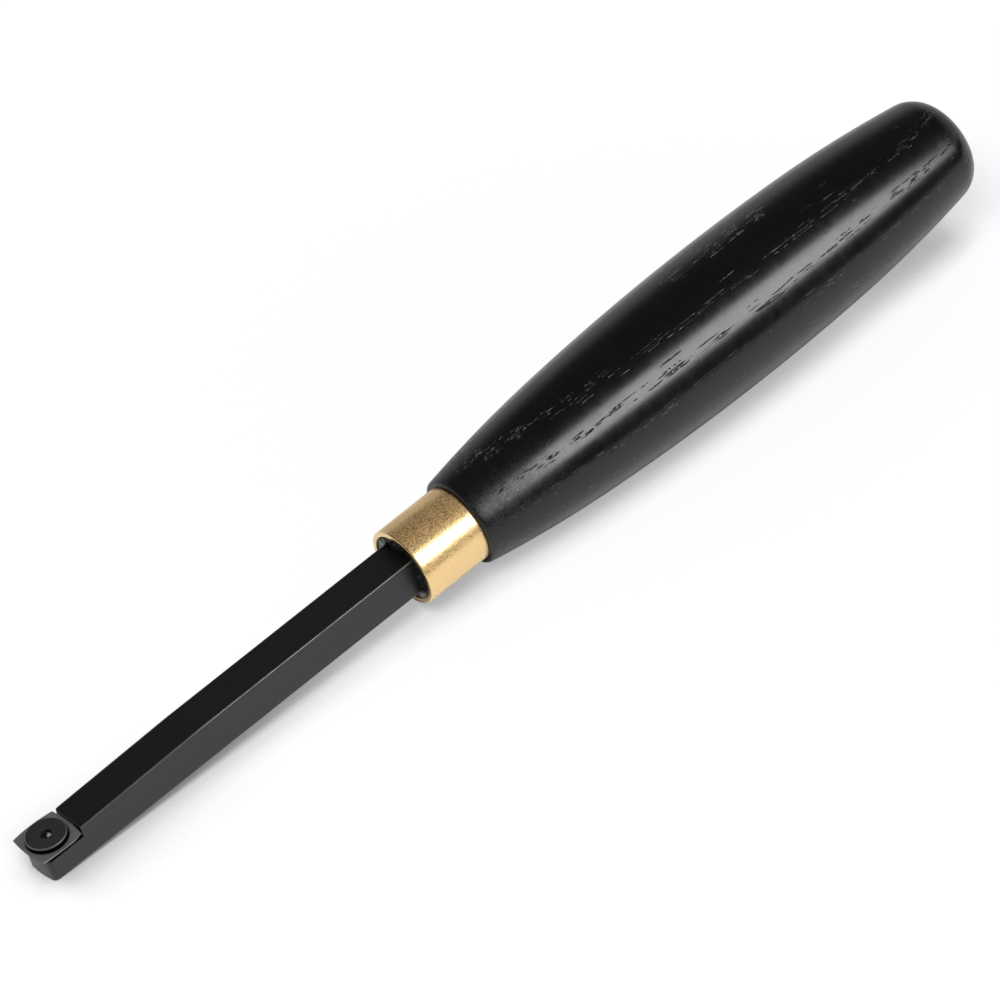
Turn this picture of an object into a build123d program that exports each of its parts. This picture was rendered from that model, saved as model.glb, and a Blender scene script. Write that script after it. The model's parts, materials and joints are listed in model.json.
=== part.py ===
from build123d import *
from math import atan2, degrees, radians, sin, sqrt, tan
import os

os.makedirs("parts", exist_ok=True)

# A small woodturning scraper. The tool is drawn along X from the nose of the steel bar at x = 0
# to the butt of the handle, with its axis on y = z = 0 and the cutter on top. At the end the
# whole tool is tipped about Y, so that it lies on the nose and on the belly of the handle.

# Steel bar
bar_size = 8.5              # side of the square section
bar_reach = 97.5            # from the nose to the front rim of the ferrule
bar_edge_round = 0.25       # the four long edges are eased by the drawing of the bar
nose_curve_radius = 22.0    # the end face is slightly bowed in plan
nose_corner_radius = 1.2    # upright corners of the end face
tang_diameter = 7.0
tang_length = 40.0
tang_chamfer = 0.8

# Ground top and pocket for the cutter
top_grind_length = 32.0     # the top is ground down towards the cutter over this length
top_grind_drop = 0.85       # how far below the bar's top the grind ends, at the pocket wall
pocket_depth = 2.55         # pocket wall, from the ground top to the pocket floor
pocket_wall_round = 0.7     # far upright corner of the pocket wall

# Square carbide cutter with four bowed edges
cutter_corner_width = 10.0  # from corner to corner along one edge
cutter_edge_radius = 28.0
cutter_thickness = 2.0
cutter_relief_angle = 35.0  # the flanks lean inwards below the edges
cutter_nose_overhang = 1.5  # how far the bowed front edge stands proud of the nose
cutter_wall_gap = 0.05      # between the rear edge and the pocket wall
cutter_bore_radius = 2.6
cutter_dish_radius = 4.6    # shallow dish around the screw seat
cutter_dish_depth = 0.6
seat_half_angle = 45.0      # countersink, also the underside of the screw head

# Countersunk screw with a hexagon socket
screw_head_radius = 4.4
screw_head_proud = 0.85     # head top above the cutter's face
screw_rim_height = 0.35     # straight rim of the head
screw_rim_chamfer = 0.2
screw_thread_radius = 2.0
screw_length = 7.6          # over everything
screw_tip_chamfer = 0.4
socket_across_flats = 2.5
socket_depth = 1.7
socket_point_depth = 0.5    # drill point below the hexagon
tapped_hole_mouth = 0.3     # eased mouth of the tapped hole under the bar

# Brass ferrule
ferrule_radius = 8.8
ferrule_wall = 1.1
ferrule_length = 15.6
ferrule_rim_chamfer = 0.3

# Turned wooden handle: three tangent curves, with distances measured from the shoulder behind the ferrule
end_grain_recess = 1.2      # wood face below the front rim of the ferrule
shoulder_radius = 10.0
shoulder_round = 0.6
belly_radius = 15.5         # the thickest place
belly_distance = 74.0
belly_curve_radius = 580.0  # long curve of the belly
throat_end_distance = 30.0  # here the throat's curve meets the belly's
tail_start_distance = 100.0  # here the belly's curve meets the tail's
butt_radius = 11.75         # where the tail meets the rounding of the butt
butt_distance = 132.0
butt_round = 6.9
butt_crown_angle = 12.0     # slope where the rounding runs into the slightly domed end
tang_hole_clearance = 0.05  # all round the tang
tang_hole_extra = 2.0       # beyond the end of the tang

# Places that follow from the sizes
half_bar = bar_size / 2
half_cutter = cutter_corner_width / 2
cutter_bow = cutter_edge_radius - sqrt(cutter_edge_radius**2 - half_cutter**2)
cutter_x = half_cutter + cutter_bow - cutter_nose_overhang
pocket_wall_x = cutter_x + half_cutter + cutter_bow + cutter_wall_gap
ground_top_z = half_bar - top_grind_drop
pocket_floor_z = ground_top_z - pocket_depth
cutter_face_z = pocket_floor_z + cutter_thickness
screw_top_z = cutter_face_z + screw_head_proud
seat_slope = tan(radians(seat_half_angle))
ferrule_bore_radius = ferrule_radius - ferrule_wall
ferrule_back_x = bar_reach + ferrule_length
wood_face_x = bar_reach + end_grain_recess


def seat_radius(z):
    """Radius of the screw head's cone at height z."""
    cone_top_z = screw_top_z - screw_rim_height
    return screw_head_radius - (cone_top_z - z) * seat_slope


def round_bar(radius, length, start_x):
    """A cylinder along the tool's axis."""
    return extrude(Plane.YZ.offset(start_x) * Circle(radius), length)


def upright(outline_points, x):
    """A turned body about the upright axis through the cutter, from points of radius and height."""
    outline = Plane.XZ * make_face(Polyline(*outline_points, close=True))
    return Pos(x, 0, 0) * revolve(outline, Axis.Z)


def make_shank():
    section = Plane.YZ * RectangleRounded(bar_size, bar_size, bar_edge_round)
    bar = extrude(section, wood_face_x)

    # Bowed end face with rounded upright corners, cut in plan
    side_start = nose_curve_radius - sqrt(nose_curve_radius**2 - half_bar**2)
    nose_arc = ThreePointArc((side_start, half_bar), (0, 0), (side_start, -half_bar))
    plan_sides = Polyline(
        (side_start, -half_bar), (wood_face_x, -half_bar), (wood_face_x, half_bar), (side_start, half_bar)
    )
    plan = extrude(make_face([nose_arc, plan_sides]), half_bar, both=True)
    nose_corners = plan.edges().filter_by(Axis.Z).sort_by(Axis.X)[:2]
    bar &= fillet(nose_corners, nose_corner_radius)

    # The top is ground down towards the cutter, and the pocket is milled below it
    grind_start_x = pocket_wall_x + top_grind_length
    grind_slope = top_grind_drop / top_grind_length
    nose_clear_x = -cutter_nose_overhang
    nose_clear_z = ground_top_z - (pocket_wall_x - nose_clear_x) * grind_slope
    grind_side = Polyline(
        (nose_clear_x, nose_clear_z), (grind_start_x, half_bar), (nose_clear_x, half_bar), close=True
    )
    bar -= extrude(Plane.XZ * make_face(grind_side), bar_size, both=True)
    pocket = extrude(
        Plane.XY.offset(pocket_floor_z)
        * Pos(pocket_wall_x, 0)
        * Rectangle(2 * pocket_wall_x, 2 * bar_size, align=(Align.MAX, Align.CENTER)),
        bar_size,
    )
    bar -= pocket
    wall_corner = (
        bar.edges().filter_by(Axis.Z).filter_by_position(Axis.X, pocket_wall_x - 0.01, pocket_wall_x + 0.01)
    ).sort_by(Axis.Y)[-1]
    bar = fillet(wall_corner, pocket_wall_round)

    # Tapped hole for the cutter's screw, right through, with an eased mouth below
    mouth_z = -half_bar + tapped_hole_mouth
    mouth_radius = screw_thread_radius + tapped_hole_mouth
    bar -= upright(
        [
            (0, pocket_floor_z),
            (screw_thread_radius, pocket_floor_z),
            (screw_thread_radius, mouth_z),
            (mouth_radius, -half_bar),
            (0, -half_bar),
        ],
        cutter_x,
    )

    tang = round_bar(tang_diameter / 2, tang_length, wood_face_x)
    tang_end = tang.edges().sort_by(Axis.X)[-1]
    return bar + chamfer(tang_end, tang_chamfer)


def curved_square(corner_width, edge_radius, z):
    """Square outline with four bowed edges, centred on the cutter."""
    half = corner_width / 2
    bow = edge_radius - sqrt(edge_radius**2 - half**2)
    edge = ThreePointArc((half, -half), (half + bow, 0), (half, half))
    edges = [edge.rotate(Axis.Z, 90 * turn) for turn in range(4)]
    return Pos(cutter_x, 0, z) * make_face(edges)


def make_cutter():
    pull_in = cutter_thickness * tan(radians(cutter_relief_angle))
    face = curved_square(cutter_corner_width, cutter_edge_radius, cutter_face_z)
    base = curved_square(cutter_corner_width - 2 * pull_in, cutter_edge_radius - pull_in, pocket_floor_z)
    blank = loft([base, face], ruled=True)

    seat_top_z = cutter_face_z - cutter_dish_depth
    seat_foot_z = seat_top_z - (seat_radius(seat_top_z) - cutter_bore_radius) / seat_slope
    hole = upright(
        [
            (0, cutter_face_z),
            (cutter_dish_radius, cutter_face_z),
            (seat_radius(seat_top_z), seat_top_z),
            (cutter_bore_radius, seat_foot_z),
            (cutter_bore_radius, pocket_floor_z),
            (0, pocket_floor_z),
        ],
        cutter_x,
    )
    return blank - hole


def make_screw():
    cone_top_z = screw_top_z - screw_rim_height
    cone_foot_z = cone_top_z - (screw_head_radius - screw_thread_radius) / seat_slope
    tip_z = screw_top_z - screw_length
    body = upright(
        [
            (0, screw_top_z),
            (screw_head_radius - screw_rim_chamfer, screw_top_z),
            (screw_head_radius, screw_top_z - screw_rim_chamfer),
            (screw_head_radius, cone_top_z),
            (screw_thread_radius, cone_foot_z),
            (screw_thread_radius, tip_z + screw_tip_chamfer),
            (screw_thread_radius - screw_tip_chamfer, tip_z),
            (0, tip_z),
        ],
        cutter_x,
    )
    socket_floor_z = screw_top_z - socket_depth
    hexagon = RegularPolygon(socket_across_flats / 2, 6, major_radius=False)
    socket = extrude(Plane.XY.offset(socket_floor_z) * Pos(cutter_x, 0) * hexagon, socket_depth)
    point = upright(
        [(0, socket_floor_z), (socket_across_flats / 2, socket_floor_z), (0, socket_floor_z - socket_point_depth)],
        cutter_x,
    )
    return body - socket - point


def make_ferrule():
    ring = Circle(ferrule_radius) - Circle(ferrule_bore_radius)
    tube = extrude(Plane.YZ.offset(bar_reach) * ring, ferrule_length)
    outer_rims = tube.edges().filter_by(GeomType.CIRCLE).sort_by(SortBy.RADIUS)[-2:]
    return chamfer(outer_rims, ferrule_rim_chamfer)


def belly_point(distance):
    """Point on the belly's curve, at a distance from the shoulder."""
    drop = belly_curve_radius - sqrt(belly_curve_radius**2 - (distance - belly_distance) ** 2)
    return (ferrule_back_x + distance, belly_radius - drop)


def handle_curves():
    """Long side of the handle as throat, belly and tail, which run smoothly into each other."""
    belly = ThreePointArc(
        belly_point(throat_end_distance), belly_point(belly_distance), belly_point(tail_start_distance)
    )
    throat = TangentArc(belly @ 0, (ferrule_back_x, shoulder_radius), tangent=-(belly % 0))
    tail = TangentArc(belly @ 1, (ferrule_back_x + butt_distance, butt_radius), tangent=belly % 1)
    return throat, belly, tail


def make_handle():
    throat, belly, tail = handle_curves()
    end_slope = degrees(atan2(-(tail % 1).Y, (tail % 1).X))
    rounding = JernArc(tail @ 1, tail % 1, butt_round, -(90 - butt_crown_angle - end_slope))
    crown_radius = (rounding @ 1).Y / sin(radians(butt_crown_angle))
    crown = JernArc(rounding @ 1, rounding % 1, crown_radius, -butt_crown_angle)
    spigot = Polyline(
        ((crown @ 1).X, 0),
        (wood_face_x, 0),
        (wood_face_x, ferrule_bore_radius),
        (ferrule_back_x, ferrule_bore_radius),
        (ferrule_back_x, shoulder_radius),
    )
    half_section = make_face([throat, belly, tail, rounding, crown, spigot])
    at_shoulder = half_section.vertices().filter_by_position(Axis.X, ferrule_back_x - 0.01, ferrule_back_x + 0.01)
    half_section = fillet(at_shoulder.sort_by(Axis.Y)[-1], shoulder_round)
    wood = revolve(half_section, Axis.X)
    hole_radius = tang_diameter / 2 + tang_hole_clearance
    return wood - round_bar(hole_radius, tang_length + tang_hole_extra, wood_face_x)


def rest_tilt():
    """Slope of the line from the underside of the nose that just touches the handle, in degrees."""
    samples = 400
    points = [curve @ (step / samples) for curve in handle_curves() for step in range(samples + 1)]
    return max(degrees(atan2(point.Y - half_bar, point.X)) for point in points)


pieces = {
    "shank": make_shank(),
    "cutter": make_cutter(),
    "cutter_screw": make_screw(),
    "ferrule": make_ferrule(),
    "handle": make_handle(),
}

# Tip the tool into the pose in which it lies, and put the middle of its footprint at the origin
lying = Rot(0, -rest_tilt(), 0)
tipped = {name: lying * solid for name, solid in pieces.items()}
box = Compound(list(tipped.values())).bounding_box()
to_origin = Pos(-box.center().X, -box.center().Y, -box.min.Z)
parts = {name: to_origin * solid for name, solid in tipped.items()}

for name, solid in parts.items():
    export_step(solid, f"parts/{name}.step")
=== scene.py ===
import json
from math import asin, atan2, cos, pi, radians, sin, sqrt, tan

import bmesh
import bpy
from mathutils import Matrix, Quaternion, Vector, noise


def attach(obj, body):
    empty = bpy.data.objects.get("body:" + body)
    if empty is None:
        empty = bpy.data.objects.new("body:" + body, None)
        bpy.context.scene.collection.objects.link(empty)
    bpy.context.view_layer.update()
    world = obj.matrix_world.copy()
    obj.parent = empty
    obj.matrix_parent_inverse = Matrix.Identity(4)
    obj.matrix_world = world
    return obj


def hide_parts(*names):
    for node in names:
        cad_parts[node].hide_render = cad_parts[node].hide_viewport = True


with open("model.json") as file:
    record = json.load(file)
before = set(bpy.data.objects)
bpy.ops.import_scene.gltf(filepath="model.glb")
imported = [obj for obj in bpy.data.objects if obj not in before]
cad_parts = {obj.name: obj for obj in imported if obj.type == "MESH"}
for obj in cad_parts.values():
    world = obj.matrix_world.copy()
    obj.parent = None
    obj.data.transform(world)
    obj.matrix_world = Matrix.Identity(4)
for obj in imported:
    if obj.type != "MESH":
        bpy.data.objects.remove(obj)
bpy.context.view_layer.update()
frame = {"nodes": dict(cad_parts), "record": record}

bl_info = {
    "name": "Turning scraper",
    "version": (1, 0, 0),
    "blender": (4, 5, 0),
    "location": "3D View > Sidebar > Scraper",
    "description": "Builds a small woodturning scraper, its finishes and its studio",
    "category": "Object",
}

MM = 0.001
NEAR = 1e-6                 # what lies closer together than this is in one place
FACING = 0.999              # a face whose normal has this much of an axis looks along it
STEPS_ROUND = 160           # steps of a full turn on the ferrule and the handle
STEPS_SMALL = 96            # and on the cutter's hole and the screw

# Every piece is drawn in the tool's own frame: X along the bar from its nose, Z up to the cutter
mounts = {mount["name"]: mount for mount in frame["record"]["mounts"]}
collar = mounts["ferrule_collar"]
along = -Vector(collar["axis"]).normalized()
across = Vector((0, 1, 0))
upward = along.cross(across)


def reach(node):
    """First and last place of a node along the tool, from the row's origin."""
    places = [vertex.co.dot(along) for vertex in frame["nodes"][node].data.vertices]
    return min(places), max(places)


collar_middle = Vector(collar["pos_m"])
ferrule_start, ferrule_end = reach("ferrule")
bar_start = reach("shank")[0]
nose = collar_middle + along * (bar_start - collar_middle.dot(along))
tool_frame = Matrix.Translation(nose) @ Matrix((along, across, upward)).transposed().to_4x4()


def number(name, value, description, **settings):
    return bpy.props.FloatProperty(name=name, description=description, default=value, **settings)


def length(name, millimetres, description):
    return number(name, millimetres * MM, description, unit="LENGTH", subtype="DISTANCE", precision=5)


def angle(name, degrees, description):
    return number(name, radians(degrees), description, unit="ROTATION", subtype="ANGLE")


def share(name, value, description):
    return number(name, value, description, min=0, max=1, subtype="FACTOR", precision=4)


def amount(name, value, description):
    return number(name, value, description, min=0)


def colour(name, red, green, blue, description):
    return bpy.props.FloatVectorProperty(
        name=name, description=description, default=(red, green, blue), size=3, min=0, max=1, subtype="COLOR"
    )


class ScraperSizes(bpy.types.PropertyGroup):
    """Sizes of the tool, in its own frame"""

    bar_side: length("Bar side", 8.5, "Side of the square bar")
    bar_reach: length("Bar reach", (ferrule_start - bar_start) / MM, "From the nose to the ferrule")
    bar_edge: length("Bar edge", 0.125, "Rounding of the bar's four long edges")
    nose_curve: length("Nose curve", 22.0, "Radius of the bowed end face, seen from above")
    nose_corner: length("Nose corner", 1.2, "Rounding of the end face's upright corners")
    fine_edge: length("Fine edge", 0.07, "Rounding of ground and milled edges")
    grind_length: length("Grind length", 32.0, "The top is ground down towards the cutter over this length")
    grind_drop: length("Grind drop", 0.85, "How far the grind has dropped at the pocket wall")
    pocket_depth: length("Pocket depth", 2.55, "From the ground top to the pocket floor")
    wall_corner: length("Wall corner", 0.7, "Rounding of the pocket wall's far upright corner")
    tang_diameter: length("Tang diameter", 7.0, "Round end of the bar inside the handle")
    tang_length: length("Tang length", 40.0, "Length of the tang")

    cutter_width: length("Cutter width", 10.0, "From corner to corner along one cutting edge")
    cutter_curve: length("Edge curve", 28.0, "Radius of the four bowed cutting edges")
    cutter_thickness: length("Cutter thickness", 2.0, "Thickness of the carbide")
    cutter_relief: angle("Relief", 35.0, "How far the flanks lean inwards below the edges")
    cutter_overhang: length("Overhang", 1.5, "How far the front edge stands proud of the nose")
    cutter_turn: angle("Cutter turn", -1.8, "How far the cutter has turned about its screw")
    cutter_gap: length("Cutter gap", 0.05, "Between the rear edge and the pocket wall")
    cutter_bore: length("Cutter bore", 2.6, "Radius of the hole")
    dish_radius: length("Dish radius", 4.8, "Radius of the shallow dish round the screw")
    dish_depth: length("Dish depth", 0.6, "Depth of the dish")
    cutting_edge: length("Cutting edge", 0.04, "Honing of the cutting edges")

    head_radius: length("Head radius", 4.4, "Radius of the screw's head")
    head_proud: length("Head height", 1.15, "Top of the head above the cutter")
    rim_height: length("Rim height", 0.35, "Straight rim of the head")
    rim_round: length("Rim rounding", 0.32, "Rounding of the head's upper rim")
    thread_radius: length("Thread radius", 2.0, "Outside radius of the screw's thread")
    screw_length: length("Screw length", 7.6, "Length of the screw over everything")
    socket_width: length("Socket width", 2.5, "Hexagon socket across flats")
    socket_depth: length("Socket depth", 1.7, "Depth of the socket")

    ferrule_radius: length("Ferrule radius", collar["dims"]["r_mm"], "Outside radius of the brass tube")
    ferrule_wall: length("Ferrule wall", 1.1, "Wall of the brass tube")
    ferrule_length: length("Ferrule length", (ferrule_end - ferrule_start) / MM, "Length of the brass tube")
    ferrule_rim: length("Ferrule rim", 0.3, "Rounding of the tube's outer rims")

    face_recess: length("Face recess", 1.2, "Front face of the wood below the ferrule's rim")
    shoulder_radius: length("Shoulder radius", 10.0, "Radius of the wood right behind the ferrule")
    shoulder_round: length("Shoulder rounding", 0.6, "Rounding of the shoulder")
    belly_radius: length("Belly radius", 15.5, "Radius of the handle's thickest place")
    belly_distance: length("Belly distance", 74.0, "From the shoulder to the thickest place")
    belly_curve: length("Belly curve", 580.0, "Radius of the long curve of the belly")
    throat_end: length("Throat end", 30.0, "From the shoulder to the end of the throat's curve")
    tail_start: length("Tail start", 100.0, "From the shoulder to the start of the tail's curve")
    butt_radius: length("Butt radius", 11.75, "Radius where the butt's rounding starts")
    butt_distance: length("Butt distance", 132.0, "From the shoulder to the butt's rounding")
    butt_round: length("Butt rounding", 6.9, "Radius of the butt's rounding")
    crown_angle: angle("Crown angle", 12.0, "Slope where the rounding runs into the domed end")


class ScraperFinishes(bpy.types.PropertyGroup):
    """Colours of the tool"""

    bar_black: colour("Bar black", 0.0002, 0.0002, 0.001, "Black oxide on the bar, near the cutter")
    bar_brown: colour("Bar brown", 0.0012, 0.0007, 0.0009, "Thinner oxide on the bar, near the ferrule")
    carbide_grey: colour("Carbide grey", 0.265, 0.266, 0.276, "Ground carbide")
    screw_black: colour("Screw black", 0.011, 0.011, 0.0118, "Black oxide on the screw")
    brass: colour("Brass", 0.98, 0.74, 0.39, "Brass of the ferrule")
    stain: colour("Stain", 0.0026, 0.0023, 0.0028, "Black stain of the wood")
    ring_width: amount("Ring width", 5.67, "Distance between growth rings in millimetres")
    ring_start: amount("Ring start", 14.1, "Place of the outermost growth ring in millimetres from the axis")
    ring_angle: angle("Ring angle", 74.1, "Direction across the growth rings, seen from the cutter")


class ScraperStudio(bpy.types.PropertyGroup):
    """Floor, lamps and camera"""

    floor_white: share("Floor white", 0.95, "Whiteness of the floor")
    main_light: amount("Main light", 8.0, "Brightness of the tall panel, as a multiple of white")
    floor_light: amount("Floor light", 9.8, "Brightness of the lamp near the camera, which throws the shadow")
    wall_light: amount("Wall light", 0.48, "Brightness of the walls near the horizon, in reflections")
    room_light: amount("Room light", 0.08, "Brightness of the room above the walls, in reflections")
    even_light: amount("Even light", 0.3, "Even light of the room on dull surfaces")
    floor_glow: share("Floor glow", 0.65, "Share of the floor's white that is shaded only by what is near")
    bar_shade: length("Shade of the bar", 16.0, "How far that shading reaches out from the bar")
    handle_shade: length("Shade of the handle", 9.0, "How far that shading reaches out from the handle")
    butt_shade: length("Shade of the butt", 12.0, "How far that shading reaches out from the raised butt")
    floor_fall: share("Floor fall-off", 0.15, "How much darker reflections find the floor behind the tool")
    view_azimuth: angle("View azimuth", -121.478, "Direction from the tool to the camera")
    view_elevation: angle("View elevation", 39.408, "Height of the camera above the floor's plane")
    view_roll: angle("View roll", -14.253, "Turn of the camera about its line of sight")
    view_distance: length("View distance", 1608.8, "From the camera to the tool")
    focal_length: amount("Focal length", 288.0, "Lens in millimetres, on a sensor 36 mm wide")


# Modelling


def verts_of(parts):
    return [part for part in parts if isinstance(part, bmesh.types.BMVert)]


def edges_of(parts):
    return [part for part in parts if isinstance(part, bmesh.types.BMEdge)]


def edges_round(verts):
    """All edges that meet these vertices."""
    return list({edge for vertex in verts for edge in vertex.link_edges})


def edges_at(edges, axis, place):
    """Those of the edges that lie across an axis at that place."""
    return [edge for edge in edges if all(abs(vertex.co[axis] - place) < NEAR for vertex in edge.verts)]


def sharp_rim(bm, height, degrees):
    """Edges at a height whose faces meet at more than that angle."""
    level = edges_at(bm.edges, 2, height)
    return [edge for edge in level if edge.calc_face_angle_signed() > radians(degrees)]


def merge_doubles(bm, verts=None):
    bmesh.ops.remove_doubles(bm, verts=verts or bm.verts, dist=1e-7)


def turned(bm, cent, axis, turn, steps, start):
    """Draws an arc from a vertex and returns the vertex at its end."""
    made = bmesh.ops.spin(bm, geom=[start], cent=cent, axis=axis, angle=turn, steps=steps)
    return verts_of(made["geom_last"])[0]


def vertex_at(bm, place):
    """The outline's vertex at that place."""
    return min(bm.verts, key=lambda vertex: (vertex.co - Vector(place)).length)


def drawn_to(bm, start, place):
    """Draws a straight line from a vertex and returns the vertex at its end."""
    end = bm.verts.new(place)
    bm.edges.new((start, end))
    return end


def full_spin(bm, geom, cent, axis, steps):
    """Turns an outline into a closed body of revolution."""
    bmesh.ops.spin(bm, geom=geom, cent=cent, axis=axis, angle=2 * pi, steps=steps, use_merge=True)


def turned_body(bm):
    """Turns the whole outline about the tool's own axis."""
    full_spin(bm, bm.verts[:] + bm.edges[:], (0, 0, 0), (1, 0, 0), STEPS_ROUND)
    merge_doubles(bm)


def rounded(bm, parts, size, segments, affect="EDGES"):
    return bmesh.ops.bevel(
        bm, geom=parts, offset=size, offset_type="OFFSET", segments=segments, profile=0.5, affect=affect,
        clamp_overlap=True, material=-1,
    )


def open_loop(bm):
    return [edge for edge in bm.edges if edge.is_boundary]


def filled(bm, edges):
    bmesh.ops.triangle_fill(bm, edges=edges, use_beauty=True, use_dissolve=False)


def face_outwards(bm):
    bmesh.ops.recalc_face_normals(bm, faces=bm.faces)


def largest(faces):
    return max(faces, key=lambda face: face.calc_area())


def drawn_out(bm, edges, move):
    """Extrudes open edges by a move and returns what is new."""
    made = bmesh.ops.extrude_edge_only(bm, edges=edges)["geom"]
    bmesh.ops.translate(bm, vec=move, verts=verts_of(made))
    return made


def as_object(bm, name, material):
    """Puts a modelled shape into the scene with its material."""
    mesh = bpy.data.meshes.new(name)
    bm.to_mesh(mesh)
    bm.free()
    mesh.materials.append(material)
    made = bpy.data.objects.new(name, mesh)
    bpy.context.scene.collection.objects.link(made)
    return made


def cut(bm, place, normal, parts=None, clear_outer=False):
    """Cuts the piece, or the given parts of it, along a plane."""
    parts = parts or bm.verts[:] + bm.edges[:] + bm.faces[:]
    bmesh.ops.bisect_plane(bm, geom=parts, plane_co=place, plane_no=normal, clear_outer=clear_outer)


def turned_profile(bm, middle, profile, rounding=0.0):
    """Turns a profile of radii and heights about the screw's axis, its second point rounded if asked."""
    known = set(bm.verts)
    points = [bm.verts.new((middle + profile[0][0], 0, profile[0][1]))]
    for radius, height in profile[1:]:
        points.append(drawn_to(bm, points[-1], (middle + radius, 0, height)))
    if rounding:
        rounded(bm, [points[1]], rounding, 4, "VERTICES")
    outline = [vertex for vertex in bm.verts if vertex not in known]
    full_spin(bm, outline + edges_round(outline), (middle, 0, 0), (0, 0, 1), STEPS_SMALL)


def finished(bm, name, node, material, flat=None, sharp=35):
    """Moves a piece into the row's frame and makes it stand for its CAD node."""
    merge_doubles(bm)
    face_outwards(bm)
    bm.normal_update()
    smooth = [not (flat and flat(face)) for face in bm.faces]
    bmesh.ops.transform(bm, matrix=tool_frame, verts=bm.verts)
    piece = as_object(bm, name, material)
    # Marking the sharp edges makes every face smooth, so the flat ones are set after it
    piece.data.set_sharp_from_angle(angle=radians(sharp))
    piece.data.polygons.foreach_set("use_smooth", smooth)
    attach(piece, "root")
    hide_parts(node)
    return piece


def square_faces(face):
    """Faces across one of the tool's axes."""
    return max(abs(part) for part in face.normal) > FACING


def cutter_middle(sizes):
    """Place of the cutter's centre along the tool, and how far its edges are bowed."""
    half = sizes.cutter_width / 2
    bow = sizes.cutter_curve - sqrt(sizes.cutter_curve**2 - half**2)
    return half + bow - sizes.cutter_overhang, bow


def pocket_places(sizes):
    """Pocket wall along the tool, ground top, pocket floor and cutter face above the axis."""
    middle, bow = cutter_middle(sizes)
    wall = middle + sizes.cutter_width / 2 + bow + sizes.cutter_gap
    ground = sizes.bar_side / 2 - sizes.grind_drop
    floor = ground - sizes.pocket_depth
    return wall, ground, floor, floor + sizes.cutter_thickness


def hole_in(bm, faces, matrix, radius):
    """Opens a round hole in flat faces and returns the hole's edges."""
    outline = [edge for face in faces for edge in face.edges]
    bmesh.ops.delete(bm, geom=faces, context="FACES_ONLY")
    ring = bmesh.ops.create_circle(bm, cap_ends=False, segments=48, radius=radius, matrix=matrix)
    edges = edges_round(ring["verts"])
    filled(bm, outline + edges)
    return edges


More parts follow.
